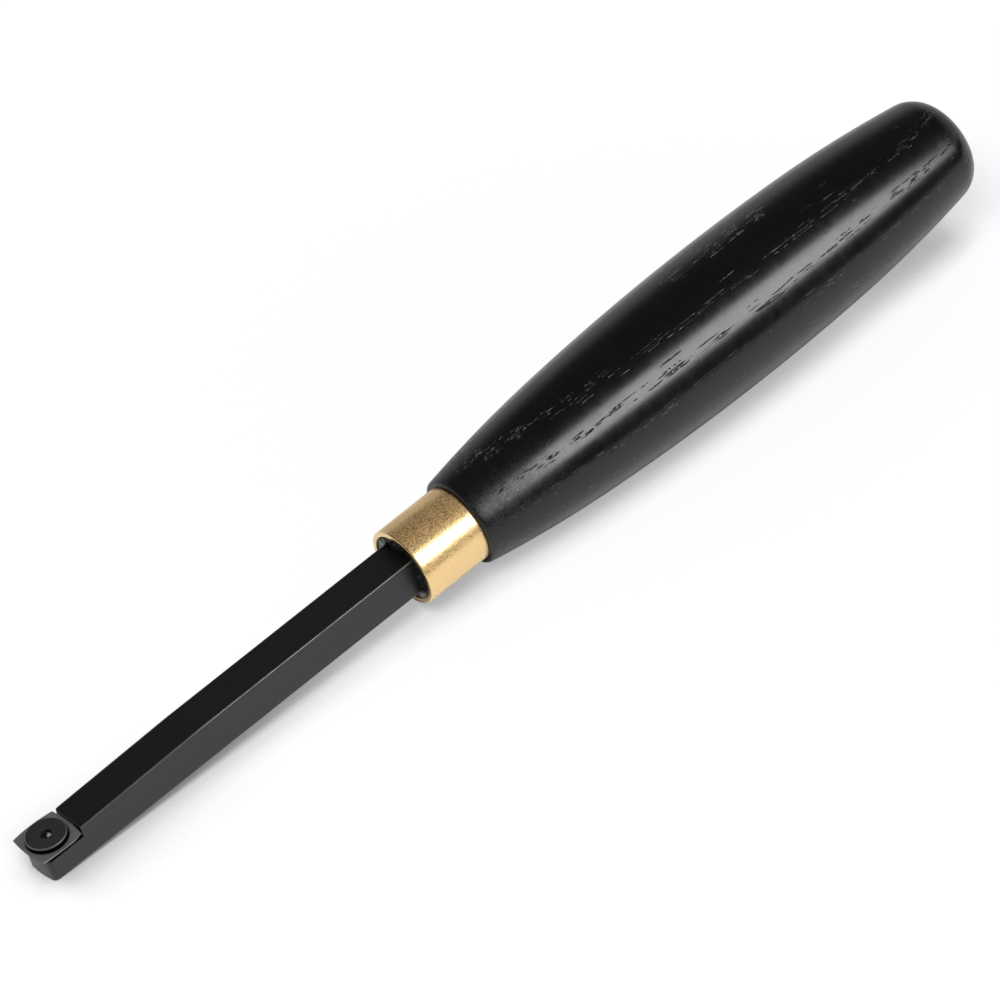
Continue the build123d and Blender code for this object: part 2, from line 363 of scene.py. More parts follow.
def make_bar(sizes, material):
    half = sizes.bar_side / 2
    wood_face = sizes.bar_reach + sizes.face_recess
    wall, ground, floor, _ = pocket_places(sizes)
    middle = cutter_middle(sizes)[0]
    bm = bmesh.new()

    # Plan of the bar, with its bowed end face, raised to a block
    inset = half - sizes.nose_corner
    swing = asin(inset / (sizes.nose_curve - sizes.nose_corner))
    side_start = sizes.nose_curve - (sizes.nose_curve - sizes.nose_corner) * cos(swing)
    first = bm.verts.new((side_start, half, -half))
    last = turned(bm, (side_start, inset, -half), (0, 0, 1), pi / 2 - swing, 8, first)
    last = turned(bm, (sizes.nose_curve, 0, -half), (0, 0, 1), 2 * swing, 16, last)
    last = turned(bm, (side_start, -inset, -half), (0, 0, 1), pi / 2 - swing, 8, last)
    corner = drawn_to(bm, last, (wood_face, -half, -half))
    corner = drawn_to(bm, corner, (wood_face, half, -half))
    bm.edges.new((corner, vertex_at(bm, (side_start, half, -half))))
    plan = bmesh.ops.contextual_create(bm, geom=bm.edges[:])["faces"]
    raised = bmesh.ops.extrude_face_region(bm, geom=plan)["geom"]
    bmesh.ops.translate(bm, vec=(0, 0, sizes.bar_side), verts=verts_of(raised))
    face_outwards(bm)

    # All level edges, of the long sides and of the nose, but for the end inside the wood
    level = [edge for edge in bm.edges if abs(edge.verts[0].co.z - edge.verts[1].co.z) < NEAR]
    level = [edge for edge in level if min(vertex.co.x for vertex in edge.verts) < wood_face - NEAR]
    rounded(bm, level, sizes.bar_edge, 4)

    # Grind on the top
    cut(bm, (wall, 0, ground), (-sizes.grind_drop / sizes.grind_length, 0, 1), clear_outer=True)
    bmesh.ops.contextual_create(bm, geom=open_loop(bm))

    # Pocket
    cut(bm, (wall, 0, 0), (1, 0, 0))
    faces = [face for face in bm.faces if face.calc_center_median().x < wall]
    ahead = faces + list({e for f in faces for e in f.edges}) + list({v for f in faces for v in f.verts})
    cut(bm, (0, 0, floor), (0, 0, 1), ahead)
    waste = [
        face for face in bm.faces
        if face.calc_center_median().x < wall - NEAR and face.calc_center_median().z > floor
    ]
    bmesh.ops.delete(bm, geom=waste, context="FACES")
    rim = open_loop(bm)
    foot = [
        vertex for vertex in {v for edge in rim for v in edge.verts}
        if abs(vertex.co.x - wall) < NEAR and abs(vertex.co.z - floor) < NEAR
    ]
    foot_edge = bm.edges.new(foot)
    bmesh.ops.contextual_create(bm, geom=[foot_edge] + edges_at(rim, 2, floor))
    bmesh.ops.contextual_create(bm, geom=[foot_edge] + edges_at(rim, 0, wall))
    face_outwards(bm)

    # Far corner of the pocket wall, then every edge that the cuts left sharp
    rounded(bm, edges_at(edges_at(bm.edges, 0, wall), 1, half), sizes.wall_corner, 6)
    sharp = [
        edge for edge in bm.edges
        if len(edge.link_faces) == 2 and edge.calc_face_angle_signed() > radians(40)
        and max(v.co.x for v in edge.verts) < wall + NEAR
    ]
    rounded(bm, sharp, sizes.fine_edge, 2)

    # Tapped hole through the nose, chamfered where it comes out below
    chamfer = 0.3 * MM
    mouth_radius = sizes.thread_radius + chamfer
    lowest = largest(face for face in bm.faces if face.normal.z < -FACING)
    mouth = hole_in(bm, [lowest], Matrix.Translation((middle, 0, -half)), mouth_radius)
    upper = [face for face in bm.faces if face.normal.z > FACING]
    pocket_floor = largest(face for face in upper if abs(face.calc_center_median().z - floor) < NEAR)
    top = hole_in(bm, [pocket_floor], Matrix.Translation((middle, 0, floor)), sizes.thread_radius)
    neck = drawn_out(bm, mouth, (0, 0, chamfer))
    shrink = (sizes.thread_radius / mouth_radius,) * 2 + (1,)
    bmesh.ops.scale(bm, vec=shrink, space=Matrix.Translation((-middle, 0, 0)), verts=verts_of(neck))
    bmesh.ops.bridge_loops(bm, edges=top + edges_of(neck))

    # Tang
    behind = [face for face in bm.faces if face.calc_center_median().x > wood_face - NEAR]
    back = [face for face in behind if face.normal.x > FACING]
    across_bar = Matrix.Translation((wood_face, 0, 0)) @ Matrix.Rotation(pi / 2, 4, "Y")
    ring = hole_in(bm, back, across_bar, sizes.tang_diameter / 2)
    tang = drawn_out(bm, ring, (sizes.tang_length, 0, 0))
    bmesh.ops.contextual_create(bm, geom=edges_of(tang))
    return finished(bm, "steel_bar", "shank", material, square_faces)


def bowed_square(bm, middle, width, curve, height):
    """Outline of four bowed edges round the cutter's centre."""
    half = width / 2
    centre = middle + half - sqrt(curve**2 - half**2)
    swing = asin(half / curve)
    start = bm.verts.new((middle + half, -half, height))
    known = set(bm.verts) - {start}
    turned(bm, (centre, 0, height), (0, 0, 1), 2 * swing, 16, start)
    side = [vertex for vertex in bm.verts if vertex not in known]
    edges = edges_round(side)
    for quarter in (1, 2, 3):
        copy = bmesh.ops.duplicate(bm, geom=side + edges)["geom"]
        turn = Matrix.Rotation(quarter * pi / 2, 3, "Z")
        bmesh.ops.rotate(bm, cent=(middle, 0, height), matrix=turn, verts=verts_of(copy))
    merge_doubles(bm, [vertex for vertex in bm.verts if vertex not in known])
    return edges_round(vertex for vertex in bm.verts if vertex not in known)


def make_cutter(sizes, material):
    middle = cutter_middle(sizes)[0]
    _, _, floor, face = pocket_places(sizes)
    pull_in = sizes.cutter_thickness * tan(sizes.cutter_relief)
    bm = bmesh.new()
    upper = bowed_square(bm, middle, sizes.cutter_width, sizes.cutter_curve, face)
    lower = bowed_square(bm, middle, sizes.cutter_width - 2 * pull_in, sizes.cutter_curve - pull_in, floor)
    bmesh.ops.bridge_loops(bm, edges=upper + lower)
    turn = Matrix.Rotation(sizes.cutter_turn, 3, "Z")
    bmesh.ops.rotate(bm, cent=(middle, 0, 0), matrix=turn, verts=bm.verts)

    # Dish, countersink and bore
    screw_top = face + sizes.head_proud
    seat_top = face - sizes.dish_depth
    seat_radius = sizes.head_radius - (screw_top - sizes.rim_height - seat_top)
    profile = [
        (sizes.dish_radius, face),
        (seat_radius, seat_top),
        (sizes.cutter_bore, seat_top - (seat_radius - sizes.cutter_bore)),
        (sizes.cutter_bore, floor),
    ]
    turned_profile(bm, middle, profile)
    for height in (face, floor):
        filled(bm, edges_at(open_loop(bm), 2, height))
    face_outwards(bm)
    rounded(bm, sharp_rim(bm, face, 40), sizes.cutting_edge, 2)
    return finished(bm, "carbide_cutter", "cutter", material, square_faces, 25)


def make_screw(sizes, material):
    middle = cutter_middle(sizes)[0]
    top = pocket_places(sizes)[3] + sizes.head_proud
    cone_top = top - sizes.rim_height
    cone_foot = cone_top - (sizes.head_radius - sizes.thread_radius)
    tip = top - sizes.screw_length
    tip_chamfer = 0.4 * MM
    socket_chamfer = 0.1 * MM
    drill_point = 0.5 * MM
    clear_of_socket = sizes.socket_width * 0.8
    bm = bmesh.new()

    # Hexagon socket: its mouth, its walls and the drill point
    hexagon = bmesh.ops.create_circle(
        bm, cap_ends=False, segments=6, radius=sizes.socket_width / sqrt(3),
        matrix=Matrix.Translation((middle, 0, top)) @ Matrix.Rotation(pi / 6, 4, "Z"),
    )
    walls = drawn_out(bm, edges_round(hexagon["verts"]), (0, 0, -sizes.socket_depth))
    point = verts_of(drawn_out(bm, edges_of(walls), (0, 0, -drill_point)))
    bmesh.ops.pointmerge(bm, verts=point, merge_co=(middle, 0, top - sizes.socket_depth - drill_point))

    # Head, thread and tip
    profile = [
        (clear_of_socket, top),
        (sizes.head_radius, top),
        (sizes.head_radius, cone_top),
        (sizes.thread_radius, cone_foot),
        (sizes.thread_radius, tip + tip_chamfer),
        (sizes.thread_radius - tip_chamfer, tip),
        (0, tip),
    ]
    turned_profile(bm, middle, profile, sizes.rim_round)
    merge_doubles(bm)
    filled(bm, edges_at(open_loop(bm), 2, top))
    face_outwards(bm)
    rounded(bm, sharp_rim(bm, top, 60), socket_chamfer, 2)
    return finished(bm, "socket_screw", "cutter_screw", material, square_faces, 30)


def make_ferrule(sizes, material):
    start = sizes.bar_reach
    end = start + sizes.ferrule_length
    outer = sizes.ferrule_radius
    inner = outer - sizes.ferrule_wall
    inner_rim = 0.12 * MM
    bm = bmesh.new()
    first = bm.verts.new((start, 0, inner))
    front = drawn_to(bm, first, (start, 0, outer))
    rear = drawn_to(bm, front, (end, 0, outer))
    last = drawn_to(bm, rear, (end, 0, inner))
    bm.edges.new((last, first))
    rounded(bm, [front, rear], sizes.ferrule_rim, 5, "VERTICES")
    rounded(bm, [first], inner_rim, 3, "VERTICES")
    turned_body(bm)
    return finished(bm, "brass_ferrule", "ferrule", material, lambda f: abs(f.normal.x) > 0.9999, 50)


def arc_towards(start, tangent, end):
    """Centre and turn of the arc that leaves a point along a tangent and reaches another point."""
    inward = Vector((tangent.y, -tangent.x))
    chord = end - start
    radius = chord.length_squared / (2 * inward.dot(chord))
    centre = start + inward * radius
    turn = abs((start - centre).angle_signed(end - centre))
    return centre, turn


def make_handle(sizes, material):
    back = sizes.bar_reach + sizes.ferrule_length
    wood_face = sizes.bar_reach + sizes.face_recess
    bore = sizes.ferrule_radius - sizes.ferrule_wall
    glue_gap = 0.05 * MM
    hole_spare = 2 * MM
    hole = sizes.tang_diameter / 2 + glue_gap
    hole_end = wood_face + sizes.tang_length + hole_spare
    bm = bmesh.new()

    def arc(start, centre, turn, steps):
        return turned(bm, (centre.x, 0, centre.y), (0, 1, 0), turn, steps, start)

    def belly(distance):
        drop = sizes.belly_curve - sqrt(sizes.belly_curve**2 - (distance - sizes.belly_distance) ** 2)
        return Vector((back + distance, sizes.belly_radius - drop))

    def level(place, centre):
        """Direction along a curve, towards the butt."""
        arm = (place - centre).normalized()
        return Vector((arm.y, -arm.x))

    # Spigot and drilled hole
    start = bm.verts.new((hole_end, 0, 0))
    place = drawn_to(bm, start, (hole_end, 0, hole))
    place = drawn_to(bm, place, (wood_face, 0, hole))
    place = drawn_to(bm, place, (wood_face, 0, bore))
    place = drawn_to(bm, place, (back, 0, bore))
    shoulder = drawn_to(bm, place, (back, 0, sizes.shoulder_radius))

    # Throat, belly, tail, rounding and crown
    belly_centre = Vector((back + sizes.belly_distance, sizes.belly_radius - sizes.belly_curve))
    belly_first, belly_last = belly(sizes.throat_end), belly(sizes.tail_start)
    throat_start = Vector((back, sizes.shoulder_radius))
    throat_centre, throat_turn = arc_towards(belly_first, level(belly_first, belly_centre), throat_start)
    place = arc(shoulder, throat_centre, throat_turn, 14)
    belly_turn = (belly_first - belly_centre).angle(belly_last - belly_centre)
    place = arc(place, belly_centre, belly_turn, 30)
    tail_end = Vector((back + sizes.butt_distance, sizes.butt_radius))
    tail_centre, tail_turn = arc_towards(belly_last, level(belly_last, belly_centre), tail_end)
    place = arc(place, tail_centre, tail_turn, 16)
    run_out = level(tail_end, tail_centre)
    end_slope = atan2(-run_out.y, run_out.x)
    round_centre = tail_end + Vector((run_out.y, -run_out.x)) * sizes.butt_round
    place = arc(place, round_centre, pi / 2 - sizes.crown_angle - end_slope, 14)
    crown_radius = place.co.z / sin(sizes.crown_angle)
    crown_centre = Vector((place.co.x - crown_radius * cos(sizes.crown_angle), 0))
    place = arc(place, crown_centre, sizes.crown_angle, 8)

    rounded(bm, [vertex_at(bm, (back, 0, sizes.shoulder_radius))], sizes.shoulder_round, 5, "VERTICES")
    face_edge = bm.edges.get((vertex_at(bm, (wood_face, 0, hole)), vertex_at(bm, (wood_face, 0, bore))))
    bmesh.ops.subdivide_edges(bm, edges=[face_edge], cuts=11)
    turned_body(bm)

    # Rough glued end grain inside the ferrule, about this many millimetres forward of the plain face
    proud = 0.75
    for vertex in bm.verts:
        radius = Vector((vertex.co.y, vertex.co.z)).length
        if abs(vertex.co.x - wood_face) < NEAR and hole + 0.1 * MM < radius < bore - 0.05 * MM:
            rough = 0.35 * noise.noise(vertex.co * 900) + 0.25 * noise.noise(vertex.co * 2600)
            vertex.co.x += (rough - proud) * MM
    return finished(bm, "wood_handle", "handle", material, None, 40)


# Materials


class Nodes:
    """A node tree that is written down in a few words."""

    def __init__(self, tree):
        self.tree = tree

    def add(self, kind, links=None, **settings):
        node = self.tree.nodes.new("ShaderNode" + kind)
        for name, value in settings.items():
            setattr(node, name, value)
        for socket, value in (links or {}).items():
            self.put(node.inputs[socket], value)
        return node

    def put(self, socket, value):
        if isinstance(value, bpy.types.NodeSocket):
            self.tree.links.new(value, socket)
        else:
            socket.default_value = value

    def maths(self, operation, first, second=0.0, third=0.0, clamp=False):
        node = self.add("Math", {0: first, 1: second, 2: third}, operation=operation, use_clamp=clamp)
        return node.outputs[0]

    def line(self, value, low, high, new_low=0.0, new_high=1.0):
        return self.ramp(value, low, high, new_low, new_high, smooth=False)

    def times(self, first, second):
        return self.maths("MULTIPLY", first, second)

    def plus(self, first, second):
        return self.maths("ADD", first, second)

    def minus(self, first, second):
        return self.maths("SUBTRACT", first, second)

    def times_plus(self, first, second, third):
        return self.maths("MULTIPLY_ADD", first, second, third)

    def parts(self, vector):
        return self.add("SeparateXYZ", {0: vector}).outputs

    def distance(self, vector, place):
        return self.add("VectorMath", {0: vector, 1: place}, operation="DISTANCE").outputs["Value"]

    def ramp(self, value, low, high, new_low=0.0, new_high=1.0, smooth=True):
        node = self.add(
            "MapRange", {0: value, 1: low, 2: high, 3: new_low, 4: new_high},
            interpolation_type="SMOOTHSTEP" if smooth else "LINEAR",
        )
        return node.outputs[0]

    def noise(self, vector, scale, detail=2.0, roughness=0.5):
        links = {"Vector": vector, "Scale": scale, "Detail": detail, "Roughness": roughness}
        return self.add("TexNoise", links).outputs["Fac"]

    def stretched(self, vector, x, y, z):
        return self.add("Mapping", {"Vector": vector, "Scale": (x, y, z)}).outputs[0]

    def mix(self, factor, first, second, blend="MIX"):
        node = self.add("Mix", data_type="RGBA", blend_type=blend)
        self.put(node.inputs[0], factor)
        self.put(node.inputs[6], first)
        self.put(node.inputs[7], second)
        return node.outputs[2]

    def use(self, effect, **values):
        """Places a shared node group with its own values."""
        node = self.add("Group", node_tree=shared(effect))
        for name, value in values.items():
            self.put(node.inputs[name], value)
        return node.outputs


class Surface(Nodes):
    """A material and its shader."""

    def __init__(self, name):
        self.material = bpy.data.materials.new(name)
        self.material.use_nodes = True
        super().__init__(self.material.node_tree)
        self.shader = self.tree.nodes["Principled BSDF"]

    def give(self, inputs):
        for name, value in inputs.items():
            self.put(self.shader.inputs[name], value)


class Finish(Surface):
    """A material on the tool's own coordinates, in millimetres."""

    def __init__(self, name):
        super().__init__(name)
        place = self.add("TexCoord").outputs["Object"]
        self.own = self.add(
            "Mapping",
            {"Vector": place, "Location": nose, "Rotation": tool_frame.to_euler(), "Scale": (MM, MM, MM)},
            vector_type="TEXTURE",
        ).outputs[0]

    def mottled(self, specks, colour_value, low, high):
        """A colour that goes from one multiple of itself to another with the specks."""
        return self.mix(specks, rgba(colour_value, low), rgba(colour_value, high))

    def done(self, colour_value, roughness, height, depth, **others):
        """Gives the shader its colour, roughness, bump and other values, and returns the material."""
        bump = self.add("Bump", {"Height": height, "Distance": depth, "Strength": 1.0}).outputs[0]
        self.give({"Base Color": colour_value, "Roughness": roughness, "Normal": bump, **others})
        return self.material


def rgba(value, times=1.0):
    return (*(part * times for part in value), 1.0)


def grey(value):
    return (value, value, value, 1.0)


def group(name, inputs, outputs):
    """A new node group with named sockets, as its tree, its input node and its output node."""
    tree = bpy.data.node_groups.new(name, "ShaderNodeTree")
    for socket, (kind, value) in inputs.items():
        made = tree.interface.new_socket(socket, in_out="INPUT", socket_type="NodeSocket" + kind)
        if value is not None:
            made.default_value = value
    for socket in outputs:
        tree.interface.new_socket(socket, in_out="OUTPUT", socket_type="NodeSocketFloat")
    nodes = Nodes(tree)
    return nodes, tree.nodes.new("NodeGroupInput").outputs, tree.nodes.new("NodeGroupOutput").inputs


def fine_grain():
    """Speckle of a given size, as a height around a half and as a mask of its highest specks."""
    inputs = {"Place": ("Vector", None), "Size": ("Float", 0.3), "Share": ("Float", 0.3)}
    nodes, given, gives = group("Fine grain", inputs, ("Height", "Specks"))
    frequency = nodes.maths("DIVIDE", 1.0, given["Size"])
    coarse = nodes.noise(given["Place"], frequency, 3.0, 0.6)
    nodes.put(gives["Height"], coarse)
    level = nodes.minus(0.72, nodes.times(given["Share"], 0.3))
    nodes.put(gives["Specks"], nodes.ramp(coarse, level, nodes.plus(level, 0.06)))
    return nodes.tree


def edge_wear():
    """Mask of edges that stick out, as wide as Width in metres and broken up by noise."""
    inputs = {"Place": ("Vector", None), "Width": ("Float", 0.0002), "Breaks": ("Float", 0.5)}
    nodes, given, gives = group("Edge wear", inputs, ("Worn",))
    soft = nodes.add("Bevel", {"Radius": given["Width"]}, samples=6)
    hard = nodes.add("NewGeometry")
    bend = nodes.add("VectorMath", {0: soft.outputs[0], 1: hard.outputs["Normal"]}, operation="DOT_PRODUCT")
    edge = nodes.ramp(bend.outputs["Value"], 0.995, 0.9)
    patches = nodes.ramp(nodes.noise(given["Place"], 0.8, 4.0, 0.65), 0.35, 0.65)
    broken = nodes.minus(1.0, nodes.times(given["Breaks"], patches))
    nodes.put(gives["Worn"], nodes.times(edge, broken))
    return nodes.tree


GROUP_MAKERS = {"Fine grain": fine_grain, "Edge wear": edge_wear}


def shared(name):
    """The shared node group of that name, built at its first use."""
    return bpy.data.node_groups.get(name) or GROUP_MAKERS[name]()


def black_oxide(finishes, sizes):
    nodes = Finish("Black oxide steel")
    own = nodes.own
    specks = nodes.use("Fine grain", Place=own, Size=0.35, Share=0.2)["Height"]
    drawn = nodes.noise(nodes.stretched(own, 0.12, 6.0, 6.0), 1.0, 3.0, 0.6)
    crisp = nodes.use("Edge wear", Place=own, Width=0.00022, Breaks=0.7)["Worn"]
    patches = nodes.noise(own, 0.12, 3.0, 0.5)

    # The eased long edges are rubbed bright, less so towards the nose
    x, y, z = nodes.parts(own)
    half_bar = sizes.bar_side / 2 / MM
    wall = pocket_places(sizes)[0] / MM
    grind_end = wall + sizes.grind_length / MM
    ground_off = nodes.line(x, wall, grind_end, sizes.grind_drop / MM, 0.0)
    upwards = nodes.maths("MAXIMUM", nodes.plus(z, ground_off), nodes.times(z, -1.0))
    corner = nodes.maths("MINIMUM", nodes.maths("ABSOLUTE", y), upwards)
    edge = nodes.ramp(corner, half_bar - 0.3, half_bar - 0.12)
    streaks = nodes.noise(nodes.stretched(own, 0.25, 1, 1), 1.0, 3.0)
    rubbed_and_sheen = nodes.times(edge, nodes.ramp(streaks, 0.3, 0.6, 0.45, 1.0))
    rubbed_and_sheen = nodes.times(rubbed_and_sheen, nodes.line(x, 5.0, 60.0, 0.35, 1.0))
    worn = nodes.maths("MAXIMUM", rubbed_and_sheen, nodes.times(crisp, 0.5))
    thinner = nodes.plus(nodes.ramp(x, 12.0, 55.0, 0.0, 0.8), nodes.ramp(patches, 0.3, 0.7, 0.0, 0.2))
    tone = nodes.mix(thinner, rgba(finishes.bar_black), rgba(finishes.bar_brown))
    roughness = nodes.ramp(drawn, 0.3, 0.7, 0.36, 0.46)
    height = nodes.plus(nodes.times(drawn, 0.5), specks)
    return nodes.done(nodes.mix(worn, tone, grey(0.2)), roughness, height, 0.000004, Metallic=worn, IOR=1.58)


def about_screw(nodes, sizes, height):
    """Place from a point on the screw's axis, its part along the axis and its distance from the axis."""
    centre = (cutter_middle(sizes)[0] / MM, 0, height / MM)
    place = nodes.add("VectorMath", {0: nodes.own, 1: centre}, operation="SUBTRACT").outputs[0]
    x, y, z = nodes.parts(place)
    squares = nodes.plus(nodes.maths("POWER", x, 2), nodes.maths("POWER", y, 2))
    return place, z, nodes.maths("SQRT", squares)


def ground_carbide(finishes, sizes):
    nodes = Finish("Ground carbide")
    specks = nodes.use("Fine grain", Place=nodes.own, Size=0.18, Share=0.3)["Height"]
    worn = nodes.use("Edge wear", Place=nodes.own, Width=0.00015, Breaks=0.4)["Worn"]
    tone = nodes.mottled(specks, finishes.carbide_grey, 0.85, 1.2)
    tone = nodes.mix(nodes.times(worn, 0.15), tone, (0.5, 0.5, 0.51, 1))

    # Painted shade: the dish round the screw, shaded by the head, is painted nearly black
    _, up, radius = about_screw(nodes, sizes, pocket_places(sizes)[3])
    rim = sizes.dish_radius / MM
    painted_dish_shade = nodes.times(nodes.ramp(radius, rim + 0.05, rim - 0.05), nodes.ramp(up, -0.02, -0.12))
    roughness = nodes.ramp(specks, 0.3, 0.7, 0.5, 0.6)
    return nodes.done(nodes.mix(painted_dish_shade, tone, grey(0.004)), roughness, specks, 0.000005, Metallic=0.8)


def black_screw(finishes, sizes):
    nodes = Finish("Black screw steel")
    specks = nodes.use("Fine grain", Place=nodes.own, Size=0.25, Share=0.3)["Height"]
    worn = nodes.use("Edge wear", Place=nodes.own, Width=0.00015, Breaks=0.6)["Worn"]
    tone = nodes.mix(worn, nodes.mottled(specks, finishes.screw_black, 0.7, 1.4), grey(0.06))

    # Painted shade: the socket is painted nearly black and dull, apart from one painted glint, a pale spot
    painted_glint_spot = (0.85, 0.65, -1.6)
    place, up, radius = about_screw(nodes, sizes, pocket_places(sizes)[3] + sizes.head_proud)
    inside = nodes.times(nodes.ramp(up, -0.1, -0.2), nodes.ramp(radius, 1.6, 1.5))
    walls = nodes.times(inside, nodes.ramp(nodes.distance(place, painted_glint_spot), 0.3, 0.65))
    # Painted highlight: the head's rounded upper rim is painted paler, where it would catch the light
    head = sizes.head_radius / MM
    rubbed_and_sheen = nodes.ramp(radius, head - 0.32, head - 0.1, 0.0, 0.8)
    tone = nodes.mix(rubbed_and_sheen, tone, (0.07, 0.07, 0.072, 1))
    tone = nodes.mix(inside, tone, nodes.mix(walls, grey(0.3), grey(0.002)))
    roughness = nodes.maths("MAXIMUM", nodes.ramp(specks, 0.3, 0.7, 0.38, 0.5), walls)
    return nodes.done(tone, roughness, specks, 0.000006, IOR=1.6)


def satin_brass(finishes, sizes):
    nodes = Finish("Satin brass")
    specks = nodes.use("Fine grain", Place=nodes.own, Size=0.35, Share=0.35)["Height"]
    fine = nodes.use("Fine grain", Place=nodes.own, Size=0.09, Share=0.5)

    # The front rim is smooth, and the tube behind it is speckled with matt spots
    front = sizes.bar_reach / MM
    behind_rim = nodes.ramp(nodes.parts(nodes.own)["X"], front + 0.22, front + 0.38)
    matt = nodes.ramp(nodes.times_plus(specks, 0.5, fine["Height"]), 0.73, 0.81)
    roughness = nodes.times_plus(nodes.times(matt, behind_rim), 0.7, 0.22)
    height = nodes.times_plus(fine["Specks"], 0.6, fine["Height"])
    tone = nodes.mottled(specks, finishes.brass, 0.92, 1.0)
    return nodes.done(tone, roughness, height, 0.000006, Metallic=1.0)


def lacquered_wood(finishes, sizes):
    nodes = Finish("Black lacquered wood")
    own = nodes.own
    x, y, z = nodes.parts(own)
    specks = nodes.use("Fine grain", Place=own, Size=0.25, Share=0.3)["Height"]

    # Growth rings are almost flat sheets along the handle, each with a band of open vessels
    along_grain = nodes.minus(x, 180.0)
    lean = nodes.times(along_grain, nodes.times_plus(along_grain, -0.00014, 0.0096))
    sheet = nodes.times_plus(y, cos(finishes.ring_angle), lean)
    sheet = nodes.times_plus(z, sin(finishes.ring_angle), sheet)
    wave = nodes.noise(nodes.stretched(own, 0.035, 0.08, 0.08), 1.0, 3.0, 0.55)
    sheet = nodes.minus(nodes.times_plus(wave, 2.2, sheet), finishes.ring_start)
    ring = nodes.maths("FRACT", nodes.maths("DIVIDE", sheet, finishes.ring_width))
    band = nodes.ramp(nodes.maths("ABSOLUTE", nodes.minus(ring, 0.5)), 0.17, 0.08)

    # The vessels are long cells of uneven size, open here and there
    shake = nodes.add("TexNoise", {"Vector": own, "Scale": 0.5, "Detail": 2.0}).outputs["Color"]
    moved = {0: shake, 1: (0.0, 0.25, 0.25), 2: own}
    shaken = nodes.add("VectorMath", moved, operation="MULTIPLY_ADD").outputs[0]
    cells = nodes.add(
        "TexVoronoi", {"Vector": nodes.stretched(shaken, 0.12, 2.4, 2.4), "Scale": 1.0, "Randomness": 1.0},
        voronoi_dimensions="3D", feature="F1",
    ).outputs
    random = nodes.add("SeparateColor", {0: cells["Color"]}).outputs
    size = nodes.line(random[0], 0.0, 1.0, 0.3, 0.55)
    depth = nodes.maths("DIVIDE", nodes.minus(size, cells["Distance"]), size, clamp=True)
    chosen = nodes.ramp(nodes.plus(band, random[1]), 0.95, 1.03)
    broken = nodes.ramp(nodes.noise(nodes.stretched(own, 0.9, 1.7, 1.7), 1.0, 1.0), 0.38, 0.46)
    pore = nodes.times(nodes.times(nodes.ramp(depth, 0.0, 0.7), chosen), broken)
    tone = nodes.mix(pore, rgba(finishes.stain), grey(0.002))

    # Smears of glue on the end grain inside the ferrule
    rim = sizes.bar_reach / MM + 0.2
    glue = 0.0
    for side, up in ((6.4, 2.6), (-3.4, -6.1)):
        glue = nodes.plus(nodes.ramp(nodes.distance(own, (rim, side, up)), 2.1, 1.3), glue)
    glue = nodes.times(glue, nodes.ramp(specks, 0.3, 0.5))
    tone = nodes.mix(glue, tone, (0.2, 0.2, 0.215, 1))

    # The lacquer is thin and uneven on the turned throat and on the end grain in front of it
    mottle = nodes.noise(nodes.stretched(own, 0.4, 0.15, 0.15), 1.0, 4.0, 0.6)
    smooth = nodes.plus(nodes.ramp(specks, 0.3, 0.7, 0.0, 0.05), nodes.ramp(mottle, 0.3, 0.7, 0.19, 0.24))
    shoulder = (sizes.bar_reach + sizes.ferrule_length) / MM
    throat = nodes.ramp(x, shoulder + 26.0, shoulder + 2.0)
    uneven = nodes.noise(nodes.stretched(own, 1.2, 2.4, 2.4), 1.0, 4.0, 0.65)
    roughness = nodes.times_plus(throat, nodes.ramp(uneven, 0.35, 0.65, 0.02, 0.2), smooth)
    height = nodes.minus(nodes.times(specks, 0.023), pore)
    height = nodes.times_plus(nodes.times(throat, uneven), 0.15, height)
    return nodes.done(tone, roughness, height, 0.00018)


# Operators


def build(context, make, dress):
    """Makes a piece with its finish, from the scene's sizes and colours."""
    sizes = context.scene.scraper_sizes
    return make(sizes, dress(context.scene.scraper_finishes, sizes))


class SCRAPER_OT_bar(bpy.types.Operator):
    """Builds the blackened square bar with its ground top, pocket and tang"""

    bl_idname = "scraper.bar"
    bl_label = "Steel bar"

    def execute(self, context):
        build(context, make_bar, black_oxide)
        return {"FINISHED"}


class SCRAPER_OT_cutter(bpy.types.Operator):
    """Builds the square carbide cutter with its bowed edges"""

    bl_idname = "scraper.cutter"
    bl_label = "Carbide cutter"

    def execute(self, context):
        build(context, make_cutter, ground_carbide)
        return {"FINISHED"}


class SCRAPER_OT_screw(bpy.types.Operator):
    """Builds the countersunk screw with its hexagon socket"""

    bl_idname = "scraper.screw"
    bl_label = "Socket screw"

    def execute(self, context):
        build(context, make_screw, black_screw)
        return {"FINISHED"}


class SCRAPER_OT_ferrule(bpy.types.Operator):
    """Builds the brass ferrule"""

    bl_idname = "scraper.ferrule"
    bl_label = "Brass ferrule"

    def execute(self, context):
        # It throws no golden patch on the floor
        build(context, make_ferrule, satin_brass).visible_diffuse = False
        return {"FINISHED"}


class SCRAPER_OT_handle(bpy.types.Operator):
    """Builds the turned wooden handle"""

    bl_idname = "scraper.handle"
    bl_label = "Wooden handle"

    def execute(self, context):
        build(context, make_handle, lacquered_wood)
        return {"FINISHED"}


def panel_lamp(name, brightness, width, height, place, facing):
    """A soft rectangular lamp whose brightness is a multiple of a white surface."""
    data = bpy.data.lights.new(name, "AREA")
    data.shape = "RECTANGLE"
    data.size, data.size_y = width, height
    data.energy = brightness * pi * width * height
    lamp = bpy.data.objects.new(name, data)
    aim = Vector(facing).to_track_quat("-Z", "Y").to_matrix().to_4x4()
    lamp.matrix_world = Matrix.Translation(place) @ aim
    lamp.visible_camera = False
    bpy.context.scene.collection.objects.link(lamp)
    return lamp


def plain_surface(name, colour_value):
    nodes = Surface(name)
    nodes.give({"Base Color": colour_value, "Roughness": 1.0, "Specular IOR Level": 0.0})
    return nodes


